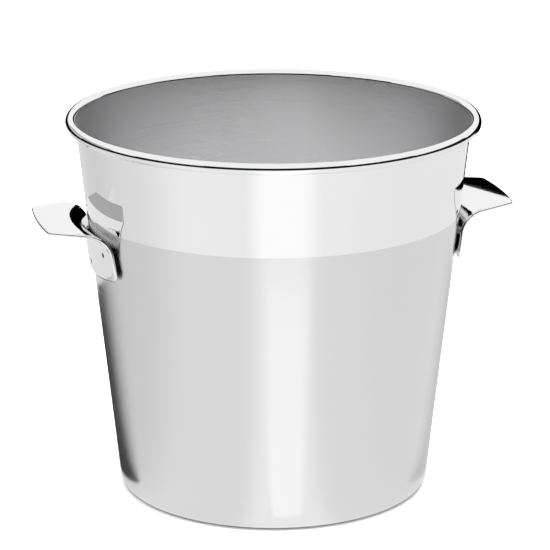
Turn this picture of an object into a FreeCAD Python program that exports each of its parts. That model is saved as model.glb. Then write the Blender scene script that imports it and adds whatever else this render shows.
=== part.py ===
import FreeCAD, Part
import math
import os
import Sketcher
from FreeCAD import Placement, Rotation, Vector

# A stainless steel champagne bucket. One drawn sheet makes the bucket: a foot, a straight
# tapered wall and a rim that is rolled outwards into a bead. Two stamped tabs are its handles.
# Each is a plate that lies along the wall and a grip that is bent outwards from its top, and
# three projection welds hold each plate to the wall.
#
# Frame: millimetres, +Z up, the origin is the middle of the surface the bucket stands on,
# and the handles point along +X and -X.

# Every driving size: alias, value, meaning.
SIZES = [
    ("height", 200.0, "overall height"),
    ("rim_radius", 108.0, "outside of the rolled bead"),
    ("bead_radius", 2.9, "outside of the bead's own section"),
    ("curl_end", 130.0, "degrees that the curl goes on below the bead's middle"),
    ("body_sheet", 0.7, "thickness of the bucket's sheet"),
    ("base_radius", 82.1, "outside of the bucket just above the foot"),
    ("foot_corner", 5.0, "outside radius between the foot and the wall"),
    ("foot_ring", 7.1, "width of the flat ring that the bucket stands on"),
    ("panel_rise", 1.5, "how far the middle of the floor stands above the foot"),
    ("panel_step", 4.0, "width of the step round that raised panel"),
    ("tab_sheet", 1.8, "thickness of a handle's sheet"),
    ("tab_curve", 122.0, "radius that a handle's plate is bowed to, flatter than the wall"),
    ("weld_gap", 0.2, "gap between the wall and the middle of the plate"),
    ("plate_bottom", 121.5, "lowest point of the plate"),
    ("plate_width", 74.0, "width of the plate at its foot"),
    ("plate_edge", 165.0, "radius of the plate's lower edge"),
    ("plate_corner", 4.0, "radius of the plate's lower corners"),
    ("bend_radius", 12.5, "radius inside the bend"),
    ("neck_height", 142.0, "where the plate's sides turn upright, at the foot of the bend"),
    ("neck_width", 70.0, "width of the tab over the bend"),
    ("taper_start", 104.0, "where the grip starts to narrow, from the bucket's axis"),
    ("grip_height", 151.2, "top of the grip at its outer edge"),
    ("grip_reach", 125.5, "outer edge of the grip from the bucket's axis"),
    ("grip_rise", 2.0, "degrees that the grip climbs outwards"),
    ("grip_width", 50.0, "width of the grip at its outer edge"),
    ("grip_edge", 200.0, "radius of the grip's outer edge"),
    ("grip_corner", 5.0, "radius of the grip's outer corners"),
    ("dimple_radius", 1.3, "mouth of the dimple at each weld"),
    ("dimple_depth", 1.2, "depth of that dimple"),
    ("nugget_radius", 2.0, "radius of each weld nugget"),
    ("upper_weld_height", 137.0, "height of the two upper welds"),
    ("upper_weld_offset", 25.0, "sideways distance of the upper welds"),
    ("lower_weld_height", 127.0, "height of the lower weld"),
]

START, END, CENTRE = 1, 2, 3
H_AXIS, V_AXIS = -1, -2

# Blanks are cut this much larger than the outline that is then trimmed out of them.
BLANK_MARGIN = 8.0


def make_sheet(doc):
    """Keep the driving sizes in a spreadsheet, one alias each."""
    sheet = doc.addObject("Spreadsheet::Sheet", "Sizes")
    for row, (alias, value, meaning) in enumerate(SIZES, start=1):
        sheet.set(f"A{row}", alias)
        sheet.set(f"B{row}", str(value))
        sheet.setAlias(f"B{row}", alias)
        sheet.set(f"C{row}", meaning)
    doc.recompute()
    return sheet


DERIVED = [
    # The wall's outer line touches the foot's corner arc and the inside of the curl.
    ("corner_x", "Sizes.base_radius - Sizes.foot_corner"),
    ("panel_radius", "Derived.corner_x - Sizes.foot_ring - Sizes.panel_step"),
    ("bead_x", "Sizes.rim_radius - Sizes.bead_radius"),
    ("bead_z", "Sizes.height - Sizes.bead_radius"),
    ("wall_run", "Derived.bead_x - Derived.corner_x"),
    ("wall_climb", "Derived.bead_z - Sizes.foot_corner"),
    (
        "wall_angle",
        "(acos((Sizes.foot_corner + Sizes.bead_radius - Sizes.body_sheet)"
        " / hypot(Derived.wall_run; Derived.wall_climb))"
        " - atan2(Derived.wall_climb; Derived.wall_run)) / 1 deg",
    ),
    (
        "wall_foot",
        "Derived.corner_x + Sizes.foot_corner / cos(Derived.wall_angle * 1 deg)"
        " - Sizes.foot_corner * tan(Derived.wall_angle * 1 deg)",
    ),
    # The plate's inner line is parallel to the wall, one gap away from it.
    ("plate_foot", "Derived.wall_foot + Sizes.weld_gap / cos(Derived.wall_angle * 1 deg)"),
    (
        "plate_face_foot",
        "Derived.plate_foot + Sizes.tab_sheet / cos(Derived.wall_angle * 1 deg)",
    ),
    # The plate is bowed about an upright axis beyond the bucket's own.
    (
        "bow_axis",
        "Derived.plate_foot + Sizes.upper_weld_height * tan(Derived.wall_angle * 1 deg)"
        " - Sizes.tab_curve",
    ),
    # For each weld: the plate's outer face from the bow axis, the turn about that axis, and
    # the gap between the plate and the wall.
    (
        "upper_face",
        "Derived.plate_face_foot - Derived.bow_axis"
        " + Sizes.upper_weld_height * tan(Derived.wall_angle * 1 deg)",
    ),
    (
        "lower_face",
        "Derived.plate_face_foot - Derived.bow_axis"
        " + Sizes.lower_weld_height * tan(Derived.wall_angle * 1 deg)",
    ),
    ("upper_turn", "asin(Sizes.upper_weld_offset / Derived.upper_face) / 1 deg"),
    ("lower_turn", "0"),
    (
        "upper_gap",
        "(hypot(Derived.bow_axis + Sizes.tab_curve * cos(Derived.upper_turn * 1 deg);"
        " Sizes.tab_curve * sin(Derived.upper_turn * 1 deg))"
        " - Derived.wall_foot - Sizes.upper_weld_height * tan(Derived.wall_angle * 1 deg))"
        " * cos(Derived.wall_angle * 1 deg)",
    ),
    ("lower_gap", "Sizes.weld_gap"),
]


def make_derived(doc):
    """Work out the slopes and places that several pieces share from the driving sizes."""
    derived = doc.addObject("App::VarSet", "Derived")
    for name, formula in DERIVED:
        derived.addProperty("App::PropertyFloat", name, "Derived")
        derived.setExpression(name, formula)
        doc.recompute()
    return derived


def drive(sketch, name, constraint, formula):
    """Add a dimension and bind it to the driving sizes."""
    index = sketch.addConstraint(constraint)
    sketch.renameConstraint(index, name)
    sketch.setExpression(f"Constraints.{name}", formula)


def tie(sketch, kind, *where):
    """Add a constraint that has no dimension."""
    sketch.addConstraint(Sketcher.Constraint(kind, *where))


def add_line(sketch, start, end, construction=False):
    segment = Part.LineSegment(Vector(*start, 0), Vector(*end, 0))
    return sketch.addGeometry(segment, construction)


def add_arc(sketch, centre, radius, start_degrees, end_degrees):
    circle = Part.Circle(Vector(*centre, 0), Vector(0, 0, 1), radius)
    arc = Part.ArcOfCircle(circle, math.radians(start_degrees), math.radians(end_degrees))
    return sketch.addGeometry(arc, False)


def add_sketch(body, name, plane):
    """A sketch on one of the body's own origin planes."""
    sketch = body.newObject("Sketcher::SketchObject", name)
    support = next(f for f in body.Origin.OriginFeatures if f.Role == plane)
    sketch.AttachmentSupport = [(support, "")]
    sketch.MapMode = "FlatFace"
    return sketch


def settle(doc, sketch):
    """Solve the sketch, and insist that its dimensions fix it."""
    doc.recompute()
    if sketch.solve() != 0 or not sketch.FullyConstrained:
        raise RuntimeError(f"{sketch.Label} isn't fully fixed by its dimensions")


def away(point, distance, degrees):
    """The point at a distance and a direction from another."""
    turn = math.radians(degrees)
    return (point[0] + distance * math.cos(turn), point[1] + distance * math.sin(turn))


def make_bucket(doc, size, derived):
    """The bucket: half of its section, spun about the upright axis."""
    body = doc.addObject("PartDesign::Body", "bucket_body")
    body.Label = "bucket_body"
    sketch = add_sketch(body, "BucketSection", "XZ_Plane")

    sheet = size["body_sheet"]
    slope = derived.wall_angle
    corner = (derived.corner_x, size["foot_corner"])
    bead = (derived.bead_x, derived.bead_z)
    step = math.degrees(math.atan2(size["panel_rise"], size["panel_step"]))
    shift = sheet * math.tan(math.radians(step / 2))
    foot_inner = derived.panel_radius + size["panel_step"]

    # The underside, from the middle outwards: panel, step, foot.
    under = [
        (0, size["panel_rise"]),
        (derived.panel_radius, size["panel_rise"]),
        (foot_inner, 0),
        (corner[0], 0),
    ]
    panel = add_line(sketch, under[0], under[1])
    ramp = add_line(sketch, under[1], under[2])
    foot = add_line(sketch, under[2], under[3])
    corner_out = add_arc(sketch, corner, size["foot_corner"], 270, 360 - slope)
    wall_out = add_line(
        sketch,
        away(corner, size["foot_corner"], -slope),
        away(bead, size["bead_radius"] - sheet, 180 - slope),
    )
    curl_in = add_arc(
        sketch, bead, size["bead_radius"] - sheet, -size["curl_end"], 180 - slope
    )
    curl_cap = add_line(
        sketch,
        away(bead, size["bead_radius"] - sheet, -size["curl_end"]),
        away(bead, size["bead_radius"], -size["curl_end"]),
    )
    curl_out = add_arc(sketch, bead, size["bead_radius"], -size["curl_end"], 180 - slope)
    wall_in = add_line(
        sketch,
        away(bead, size["bead_radius"], 180 - slope),
        away(corner, size["foot_corner"] - sheet, -slope),
    )
    corner_in = add_arc(sketch, corner, size["foot_corner"] - sheet, 270, 360 - slope)
    floor_foot = add_line(sketch, (corner[0], sheet), (foot_inner + shift, sheet))
    floor_ramp = add_line(
        sketch,
        (foot_inner + shift, sheet),
        (derived.panel_radius + shift, size["panel_rise"] + sheet),
    )
    floor_panel = add_line(
        sketch,
        (derived.panel_radius + shift, size["panel_rise"] + sheet),
        (0, size["panel_rise"] + sheet),
    )
    axis = add_line(
        sketch, (0, size["panel_rise"] + sheet), (0, size["panel_rise"])
    )
    curl_ray = add_line(sketch, bead, away(bead, size["bead_radius"], -size["curl_end"]), True)

    for first, second in [
        (panel, ramp),
        (ramp, foot),
        (floor_foot, floor_ramp),
        (floor_ramp, floor_panel),
        (floor_panel, axis),
        (axis, panel),
    ]:
        tie(sketch, "Coincident", first, END, second, START)
    for first, first_end, second, second_end in [
        (foot, END, corner_out, START),
        (corner_out, END, wall_out, START),
        (wall_out, END, curl_in, END),
        (curl_out, END, wall_in, START),
        (wall_in, END, corner_in, END),
        (corner_in, START, floor_foot, START),
    ]:
        tie(sketch, "Tangent", first, first_end, second, second_end)
    tie(sketch, "Coincident", curl_in, START, curl_cap, START)
    tie(sketch, "Coincident", curl_cap, END, curl_out, START)
    tie(sketch, "Coincident", curl_in, CENTRE, curl_out, CENTRE)
    tie(sketch, "Coincident", corner_in, CENTRE, corner_out, CENTRE)
    tie(sketch, "Coincident", curl_ray, START, curl_out, CENTRE)
    tie(sketch, "Coincident", curl_ray, END, curl_cap, END)
    tie(sketch, "PointOnObject", curl_cap, START, curl_ray)
    tie(sketch, "PointOnObject", panel, START, V_AXIS)
    tie(sketch, "PointOnObject", foot, START, H_AXIS)
    for level in (panel, foot, floor_foot, floor_panel):
        tie(sketch, "Horizontal", level)
    tie(sketch, "Vertical", axis)
    tie(sketch, "Parallel", ramp, floor_ramp)

    span = Sketcher.Constraint
    drive(sketch, "panel_rise", span("DistanceY", -1, 1, panel, START, size["panel_rise"]),
          "Sizes.panel_rise")
    drive(sketch, "panel_radius", span("DistanceX", -1, 1, panel, END, derived.panel_radius),
          "Derived.panel_radius")
    drive(sketch, "foot_inner", span("DistanceX", -1, 1, foot, START, foot_inner),
          "Derived.panel_radius + Sizes.panel_step")
    drive(sketch, "corner_x", span("DistanceX", -1, 1, corner_out, CENTRE, corner[0]),
          "Derived.corner_x")
    drive(sketch, "foot_corner", span("Radius", corner_out, size["foot_corner"]),
          "Sizes.foot_corner")
    drive(sketch, "bead_x", span("DistanceX", -1, 1, curl_out, CENTRE, bead[0]),
          "Derived.bead_x")
    drive(sketch, "bead_z", span("DistanceY", -1, 1, curl_out, CENTRE, bead[1]),
          "Derived.bead_z")
    drive(sketch, "bead_radius", span("Radius", curl_out, size["bead_radius"]),
          "Sizes.bead_radius")
    drive(sketch, "curl_inside", span("Radius", curl_in, size["bead_radius"] - sheet),
          "Sizes.bead_radius - Sizes.body_sheet")
    drive(sketch, "curl_end", span("Angle", curl_ray, math.radians(-size["curl_end"])),
          "-Sizes.curl_end")
    drive(sketch, "floor_sheet", span("DistanceY", axis, END, axis, START, sheet),
          "Sizes.body_sheet")
    drive(sketch, "foot_sheet", span("DistanceY", foot, END, floor_foot, START, sheet),
          "Sizes.body_sheet")
    drive(sketch, "ramp_sheet", span("Distance", ramp, START, floor_ramp, sheet),
          "Sizes.body_sheet")
    settle(doc, sketch)

    spin = body.newObject("PartDesign::Revolution", "BucketSpin")
    spin.Profile = sketch
    spin.ReferenceAxis = (sketch, ["V_Axis"])
    spin.Angle = 360
    body.Tip = spin
    doc.recompute()
    return body


def add_tab_section(doc, body, size, derived):
    """The side view of the bent strip, drawn longer at both ends than the finished tab."""
    sketch = add_sketch(body, "TabSection", "XZ_Plane")
    sheet = size["tab_sheet"]
    slope = derived.wall_angle
    rise = size["grip_rise"]
    outside_bend = size["bend_radius"] + sheet
    lean = math.radians(slope)
    climb = math.radians(rise)

    # The bend's centre is one outside radius from the plate's inner line and from the grip's top.
    plate_normal = (math.cos(lean), -math.sin(lean))
    grip_normal = (-math.sin(climb), math.cos(climb))
    grip_point = (size["grip_reach"], size["grip_height"])
    plate_level = derived.plate_foot * plate_normal[0] + outside_bend
    grip_level = (
        grip_point[0] * grip_normal[0] + grip_point[1] * grip_normal[1] - outside_bend
    )
    cross = plate_normal[0] * grip_normal[1] - plate_normal[1] * grip_normal[0]
    bend = (
        (plate_level * grip_normal[1] - grip_level * plate_normal[1]) / cross,
        (grip_level * plate_normal[0] - plate_level * grip_normal[0]) / cross,
    )
    blank_z = size["plate_bottom"] - BLANK_MARGIN
    inner_foot = (derived.plate_foot + blank_z * math.tan(lean), blank_z)
    outer_foot = away(inner_foot, sheet, -slope)
    top_tip = away(grip_point, BLANK_MARGIN, rise)
    low_tip = away(top_tip, sheet, rise - 90)

    plate_in = add_line(sketch, inner_foot, away(bend, outside_bend, 180 - slope))
    bend_out = add_arc(sketch, bend, outside_bend, 90 + rise, 180 - slope)
    grip_top = add_line(sketch, away(bend, outside_bend, 90 + rise), top_tip)
    tip = add_line(sketch, top_tip, low_tip)
    grip_low = add_line(sketch, low_tip, away(bend, size["bend_radius"], 90 + rise))
    bend_in = add_arc(sketch, bend, size["bend_radius"], 90 + rise, 180 - slope)
    plate_out = add_line(sketch, away(bend, size["bend_radius"], 180 - slope), outer_foot)
    foot = add_line(sketch, outer_foot, inner_foot)
    bow_axis = add_line(
        sketch, (derived.bow_axis, 0), (derived.bow_axis, size["height"]), True
    )
    grip_mark = sketch.addGeometry(Part.Point(Vector(*grip_point, 0)), True)

    for first, first_end, second, second_end in [
        (plate_in, END, bend_out, END),
        (bend_out, START, grip_top, START),
        (grip_low, END, bend_in, START),
        (bend_in, END, plate_out, START),
    ]:
        tie(sketch, "Tangent", first, first_end, second, second_end)
    for first, second in [
        (grip_top, tip),
        (tip, grip_low),
        (plate_out, foot),
        (foot, plate_in),
    ]:
        tie(sketch, "Coincident", first, END, second, START)
    tie(sketch, "Coincident", bend_in, CENTRE, bend_out, CENTRE)
    tie(sketch, "Parallel", plate_in, plate_out)
    tie(sketch, "Parallel", grip_top, grip_low)
    tie(sketch, "Perpendicular", tip, grip_top)
    tie(sketch, "Perpendicular", foot, plate_in)
    tie(sketch, "PointOnObject", grip_mark, START, grip_top)
    tie(sketch, "Vertical", bow_axis)
    tie(sketch, "PointOnObject", bow_axis, START, H_AXIS)

    span = Sketcher.Constraint
    drive(sketch, "bend_radius", span("Radius", bend_in, size["bend_radius"]),
          "Sizes.bend_radius")
    drive(sketch, "bend_outside", span("Radius", bend_out, outside_bend),
          "Sizes.bend_radius + Sizes.tab_sheet")
    drive(sketch, "lean", span("Angle", plate_in, math.radians(90 - slope)),
          "90 - Derived.wall_angle")
    drive(sketch, "grip_rise", span("Angle", grip_top, climb), "Sizes.grip_rise")
    drive(sketch, "foot_x", span("DistanceX", -1, 1, plate_in, START, inner_foot[0]),
          "Derived.plate_foot"
          f" + (Sizes.plate_bottom - {BLANK_MARGIN}) * tan(Derived.wall_angle * 1 deg)")
    drive(sketch, "foot_z", span("DistanceY", -1, 1, plate_in, START, blank_z),
          f"Sizes.plate_bottom - {BLANK_MARGIN}")
    drive(sketch, "grip_x", span("DistanceX", -1, 1, grip_mark, START, grip_point[0]),
          "Sizes.grip_reach")
    drive(sketch, "grip_z", span("DistanceY", -1, 1, grip_mark, START, grip_point[1]),
          "Sizes.grip_height")
    drive(sketch, "tip_margin", span("Distance", grip_mark, START, grip_top, END, BLANK_MARGIN),
          f"{BLANK_MARGIN}")
    drive(sketch, "axis_length", span("DistanceY", bow_axis, START, bow_axis, END, size["height"]),
          "Sizes.height")
    drive(sketch, "bow_axis", span("DistanceX", bow_axis, START, -1, 1, -derived.bow_axis),
          "-Derived.bow_axis")
    settle(doc, sketch)
    return sketch


def add_front_trim(doc, body, size):
    """Cut the strip to the plate's outline: bowed lower edge, round corners, narrowing sides."""
    sketch = add_sketch(body, "PlateOutline", "YZ_Plane")
    low = size["plate_bottom"]
    neck = size["neck_height"]
    foot_half = size["plate_width"] / 2
    neck_half = size["neck_width"] / 2
    edge = size["plate_edge"]
    corner = size["plate_corner"]
    top = size["height"]
    frame_half = foot_half + 4 * BLANK_MARGIN
    frame_low = low - 4 * BLANK_MARGIN
    frame_top = top + BLANK_MARGIN

    # A corner's arc touches the side and the lower edge from inside.
    narrowing = math.atan2(foot_half - neck_half, neck - low)
    reach = (
        (foot_half - corner / math.cos(narrowing)) * math.cos(narrowing)
        - edge * math.sin(narrowing)
    )
    swing = narrowing + math.asin(reach / (edge - corner))
    edge_centre = (0, low + edge)
    corner_x = (edge - corner) * math.sin(swing)
    corner_z = edge_centre[1] - (edge - corner) * math.cos(swing)
    swing = math.degrees(swing)
    narrowing = math.degrees(narrowing)

    lower = add_arc(sketch, edge_centre, edge, 270 - swing, 270 + swing)
    corners = {}
    sides = {}
    uprights = {}
    marks = {}
    for side in (1, -1):
        centre = (side * corner_x, corner_z)
        if side > 0:
            corners[side] = add_arc(sketch, centre, corner, 270 + swing, 360 + narrowing)
            touch = away(centre, corner, narrowing)
        else:
            corners[side] = add_arc(sketch, centre, corner, 180 - narrowing, 270 - swing)
            touch = away(centre, corner, 180 - narrowing)
        sides[side] = add_line(sketch, touch, (side * neck_half, neck))
        uprights[side] = add_line(sketch, (side * neck_half, neck), (side * neck_half, top))
        marks[side] = sketch.addGeometry(Part.Point(Vector(side * foot_half, low, 0)), True)
    across = add_line(sketch, (neck_half, top), (-neck_half, top))
    frame = add_frame(sketch, -frame_half, frame_half, frame_low, frame_top)

    span = Sketcher.Constraint
    tie(sketch, "PointOnObject", lower, CENTRE, V_AXIS)
    tie(sketch, "Tangent", lower, END, corners[1], START)
    tie(sketch, "Tangent", lower, START, corners[-1], END)
    tie(sketch, "Tangent", corners[1], END, sides[1], START)
    tie(sketch, "Tangent", corners[-1], START, sides[-1], START)
    tie(sketch, "Equal", corners[1], corners[-1])
    tie(sketch, "Coincident", uprights[1], END, across, START)
    tie(sketch, "Coincident", uprights[-1], END, across, END)
    tie(sketch, "Horizontal", across)
    for side, name in ((1, "right"), (-1, "left")):
        tie(sketch, "Coincident", sides[side], END, uprights[side], START)
        tie(sketch, "Vertical", uprights[side])
        tie(sketch, "PointOnObject", marks[side], START, sides[side])
        outwards = (-1, 1, marks[side], START)
        inwards = (-1, 1, sides[side], END)
        if side < 0:
            outwards = (marks[side], START, -1, 1)
            inwards = (sides[side], END, -1, 1)
        drive(sketch, f"foot_half_{name}", span("DistanceX", *outwards, foot_half),
              "Sizes.plate_width / 2")
        drive(sketch, f"foot_low_{name}", span("DistanceY", -1, 1, marks[side], START, low),
              "Sizes.plate_bottom")
        drive(sketch, f"neck_half_{name}", span("DistanceX", *inwards, neck_half),
              "Sizes.neck_width / 2")
        drive(sketch, f"neck_height_{name}", span("DistanceY", -1, 1, sides[side], END, neck),
              "Sizes.neck_height")
    drive(sketch, "edge_radius", span("Radius", lower, edge), "Sizes.plate_edge")
    drive(sketch, "edge_centre", span("DistanceY", -1, 1, lower, CENTRE, edge_centre[1]),
          "Sizes.plate_bottom + Sizes.plate_edge")
    drive(sketch, "corner_radius", span("Radius", corners[1], corner), "Sizes.plate_corner")
    drive(sketch, "top", span("DistanceY", -1, 1, across, START, top), "Sizes.height")
    fix_frame(sketch, frame, {
        "frame_half": (frame_half, f"Sizes.plate_width / 2 + {4 * BLANK_MARGIN}"),
        "frame_low": (frame_low, f"Sizes.plate_bottom - {4 * BLANK_MARGIN}"),
        "frame_top": (frame_top, f"Sizes.height + {BLANK_MARGIN}"),
    })
    settle(doc, sketch)
    return sketch


def add_frame(sketch, left, right, low, top):
    """A rectangle round an outline, so that a pocket removes what lies between the two."""
    points = [(left, low), (right, low), (right, top), (left, top)]
    lines = [add_line(sketch, points[i], points[(i + 1) % 4]) for i in range(4)]
    for i in range(4):
        tie(sketch, "Coincident", lines[i], END, lines[(i + 1) % 4], START)
        tie(sketch, "Horizontal" if i % 2 == 0 else "Vertical", lines[i])
    return lines


def fix_frame(sketch, lines, sizes):
    """Place that rectangle: the same distance either side of the upright axis, low and top."""
    span = Sketcher.Constraint
    half, half_formula = sizes["frame_half"]
    low, low_formula = sizes["frame_low"]
    top, top_formula = sizes["frame_top"]
    drive(sketch, "frame_left", span("DistanceX", lines[0], START, -1, 1, half), half_formula)
    drive(sketch, "frame_right", span("DistanceX", -1, 1, lines[1], START, half), half_formula)
    drive(sketch, "frame_low", span("DistanceY", -1, 1, lines[0], START, low), low_formula)
    drive(sketch, "frame_top", span("DistanceY", -1, 1, lines[2], START, top), top_formula)


def add_tip_trim(doc, body, size):
    """What is cut off beside the grip, round its two corners and beyond its outer edge."""
    sketch = add_sketch(body, "GripOutline", "XY_Plane")
    neck_half = size["neck_width"] / 2
    tip_half = size["grip_width"] / 2
    start_x = size["taper_start"]
    reach = size["grip_reach"]
    corner = size["grip_corner"]
    edge = size["grip_edge"]
    edge_x = reach - edge
    far_x = reach + 2 * BLANK_MARGIN
    far_half = neck_half + 4 * BLANK_MARGIN

    # A corner's arc touches the tapered side and the outer edge from inside.
    taper = math.atan2(neck_half - tip_half, reach - start_x)
    side_level = math.sin(taper) * edge + math.cos(taper) * tip_half
    swing = math.asin((side_level - corner) / (edge - corner)) - taper
    corner_x = edge_x + (edge - corner) * math.cos(swing)
    corner_y = (edge - corner) * math.sin(swing)
    swing = math.degrees(swing)
    taper = math.degrees(taper)

    outer = add_arc(sketch, (edge_x, 0), edge, -swing, swing)
    corners = {
        1: add_arc(sketch, (corner_x, corner_y), corner, swing, 90 - taper),
        -1: add_arc(sketch, (corner_x, -corner_y), corner, 270 + taper, 360 - swing),
    }
    tapers = {}
    marks = {}
    for side in (1, -1):
        touch = away((corner_x, side * corner_y), corner, side * (90 - taper))
        tapers[side] = add_line(sketch, touch, (start_x, side * neck_half))
        marks[side] = sketch.addGeometry(Part.Point(Vector(reach, side * tip_half, 0)), True)
    points = [
        (start_x, neck_half),
        (start_x, far_half),
        (far_x, far_half),
        (far_x, -far_half),
        (start_x, -far_half),
        (start_x, -neck_half),
    ]
    lines = [add_line(sketch, points[i], points[i + 1]) for i in range(5)]

    span = Sketcher.Constraint
    tie(sketch, "PointOnObject", outer, CENTRE, H_AXIS)
    tie(sketch, "Tangent", outer, END, corners[1], START)
    tie(sketch, "Tangent", outer, START, corners[-1], END)
    tie(sketch, "Tangent", corners[1], END, tapers[1], START)
    tie(sketch, "Tangent", corners[-1], START, tapers[-1], START)
    tie(sketch, "Equal", corners[1], corners[-1])
    tie(sketch, "Coincident", tapers[1], END, lines[0], START)
    tie(sketch, "Coincident", tapers[-1], END, lines[4], END)
    for i in range(4):
        tie(sketch, "Coincident", lines[i], END, lines[i + 1], START)
    for i in range(5):
        tie(sketch, "Vertical" if i % 2 == 0 else "Horizontal", lines[i])
    for side, name in ((1, "up"), (-1, "down")):
        tie(sketch, "PointOnObject", marks[side], START, tapers[side])
        tip = (-1, 1, marks[side], START)
        neck = (-1, 1, tapers[side], END)
        if side < 0:
            tip = (marks[side], START, -1, 1)
            neck = (tapers[side], END, -1, 1)
        drive(sketch, f"tip_half_{name}", span("DistanceY", *tip, tip_half),
              "Sizes.grip_width / 2")
        drive(sketch, f"tip_x_{name}", span("DistanceX", -1, 1, marks[side], START, reach),
              "Sizes.grip_reach")
        drive(sketch, f"neck_half_{name}", span("DistanceY", *neck, neck_half),
              "Sizes.neck_width / 2")
    drive(sketch, "edge_radius", span("Radius", outer, edge), "Sizes.grip_edge")
    drive(sketch, "edge_x", span("DistanceX", outer, CENTRE, -1, 1, -edge_x),
          "Sizes.grip_edge - Sizes.grip_reach")
    drive(sketch, "corner_radius", span("Radius", corners[1], corner), "Sizes.grip_corner")
    drive(sketch, "start_up", span("DistanceX", -1, 1, tapers[1], END, start_x),
          "Sizes.taper_start")
    drive(sketch, "start_down", span("DistanceX", -1, 1, tapers[-1], END, start_x),
          "Sizes.taper_start")
    drive(sketch, "far_x", span("DistanceX", -1, 1, lines[2], START, far_x),
          f"Sizes.grip_reach + {2 * BLANK_MARGIN}")
    drive(sketch, "far_up", span("DistanceY", -1, 1, lines[2], START, far_half),
          f"Sizes.neck_width / 2 + {4 * BLANK_MARGIN}")
    drive(sketch, "far_down", span("DistanceY", lines[2], END, -1, 1, far_half),
          f"Sizes.neck_width / 2 + {4 * BLANK_MARGIN}")
    settle(doc, sketch)
    return sketch


def cut_through(doc, body, name, sketch):
    """Pocket a sketch through all, both ways, and insist that it removed something."""
    before = body.Shape.Volume
    pocket = body.newObject("PartDesign::Pocket", name)
    pocket.Profile = sketch
    pocket.Type = "ThroughAll"
    pocket.SideType = "Symmetric"
    body.Tip = pocket
    doc.recompute()
    if body.Shape.Volume >= before:
        raise RuntimeError(f"{name} cut nothing from {body.Label}")
    return pocket


# A dimple or a nugget stands square to the plate. Its place is given by the height and the
# turn about the plate's bow axis, and by how far it starts in front of the plate's outer face.
WELDS = {
    "upper_right": ("upper", 1),
    "upper_left": ("upper", -1),
    "lower": ("lower", 0),
}
CUTTER_OVERSHOOT = 0.5


def weld_placement(level, side, start, flip):
    """The formula of a placement whose own Z axis points into the plate."""
    lean = "Derived.wall_angle * 1 deg"
    turn = f"{side} * Derived.{level}_turn * 1 deg"
    radius = f"(Derived.{level}_face + ({start}) * cos({lean}))"
    way = -1 if flip else 1
    heading = 180 if flip else 0
    x = f"{way} * (Derived.bow_axis + {radius} * cos({turn}))"
    y = f"{way} * {radius} * sin({turn})"
    z = f"Sizes.{level}_weld_height - ({start}) * sin({lean})"
    base = f"vector({x}; {y}; {z})"
    spin = f"rotation({heading} + {side} * Derived.{level}_turn; Derived.wall_angle - 90; 0)"
    return f"placement({base}; {spin})"


def add_dimples(doc, body):
    """The three small conical marks that the welding points leave in the plate."""
    for name, (level, side) in WELDS.items():
        before = body.Shape.Volume
        cone = body.newObject("PartDesign::SubtractiveCone", f"Dimple_{name}")
        cone.setExpression("Height", f"Sizes.dimple_depth + {CUTTER_OVERSHOOT}")
        cone.setExpression(
            "Radius1",
            f"Sizes.dimple_radius * (1 + {CUTTER_OVERSHOOT} / Sizes.dimple_depth)",
        )
        cone.Radius2 = 0
        cone.setExpression("Placement", weld_placement(level, side, CUTTER_OVERSHOOT, False))
        body.Tip = cone
        doc.recompute()
        if body.Shape.Volume >= before:
            raise RuntimeError(f"{cone.Label} cut nothing from {body.Label}")


def make_handle(doc, size, derived, label, heading):
    """One stamped tab: bend a bowed strip, trim it to its outline, press the dimples."""
    body = doc.addObject("PartDesign::Body", label)
    body.Label = label
    section = add_tab_section(doc, body, size, derived)
    strip = body.newObject("PartDesign::Revolution", "BowedStrip")
    strip.Profile = section
    strip.ReferenceAxis = (section, ["Axis0"])
    strip.Midplane = True
    strip.setExpression(
        "Angle", f"2 * asin((Sizes.plate_width / 2 + {BLANK_MARGIN}) / Sizes.tab_curve)"
    )
    body.Tip = strip
    doc.recompute()
    cut_through(doc, body, "PlateTrim", add_front_trim(doc, body, size))
    cut_through(doc, body, "GripTrim", add_tip_trim(doc, body, size))
    add_dimples(doc, body)
    body.Placement = Placement(Vector(0, 0, 0), Rotation(Vector(0, 0, 1), heading))
    doc.recompute()
    return body


def make_welds(doc, label, handle, bucket, flip):
    """Three nuggets: what lies between the plate and the wall of three short round bars."""
    bars = []
    for name, (level, side) in WELDS.items():
        bar = doc.addObject("Part::Cylinder", f"{label}_{name}_bar")
        bar.setExpression("Radius", "Sizes.nugget_radius")
        bar.setExpression(
            "Height",
            f"Sizes.tab_sheet / 4 + Derived.{level}_gap + Sizes.body_sheet / 2",
        )
        start = "-Sizes.tab_sheet * 3 / 4"
        bar.setExpression("Placement", weld_placement(level, side, start, flip))
        bars.append(bar)
    group = doc.addObject("Part::Compound", f"{label}_bars")
    group.Links = bars
    behind_plate = doc.addObject("Part::Cut", f"{label}_behind_plate")
    behind_plate.Base = group
    behind_plate.Tool = handle
    doc.recompute()
    nuggets = doc.addObject("Part::Cut", label)
    nuggets.Base = behind_plate
    nuggets.Tool = bucket
    nuggets.Label = label
    doc.recompute()
    if len(nuggets.Shape.Solids) != len(WELDS):
        raise RuntimeError(f"{label} has {len(nuggets.Shape.Solids)} nuggets")
    return nuggets


def check_document(doc, parts):
    """Nothing may have failed quietly, and every piece is a sound solid."""
    for item in doc.Objects:
        if "Invalid" in item.State or "Error" in item.State:
            raise RuntimeError(f"{item.Label} failed: {item.State}")
    for part in parts:
        shape = part.Shape
        if shape.isNull() or not shape.isValid() or not shape.Solids:
            raise RuntimeError(f"{part.Label} isn't a sound solid")


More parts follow.
